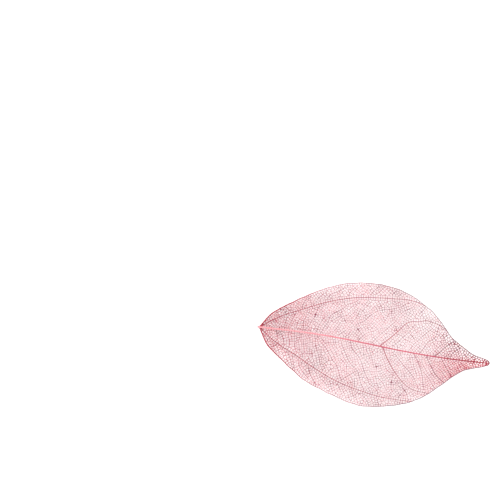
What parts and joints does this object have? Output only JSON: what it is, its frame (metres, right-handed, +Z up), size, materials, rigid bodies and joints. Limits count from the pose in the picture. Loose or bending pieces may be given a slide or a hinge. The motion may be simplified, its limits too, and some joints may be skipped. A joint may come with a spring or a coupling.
{
  "type": "skeleton leaf",
  "caption": "Dried leaf reduced to its net of veins: pointed oval, domed along the midrib, tip curled up, lying on its stalk foot and margins.",
  "frame": {"origin": "middle of the leaf's box, on the surface that it lies on", "axes": "+X along the midrib from the stalk to the tip, +Y across the blade, +Z up from the surface, out of the domed side"},
  "size_m": [0.0912, 0.0482, 0.0095],
  "materials": {
    "dyed_veins": "matte dried plant fibre, dyed red, paler along the midrib"
  },
  "bodies": {
    "root": {"skeleton_leaf": "dyed_veins"}
  },
  "joints": []
}
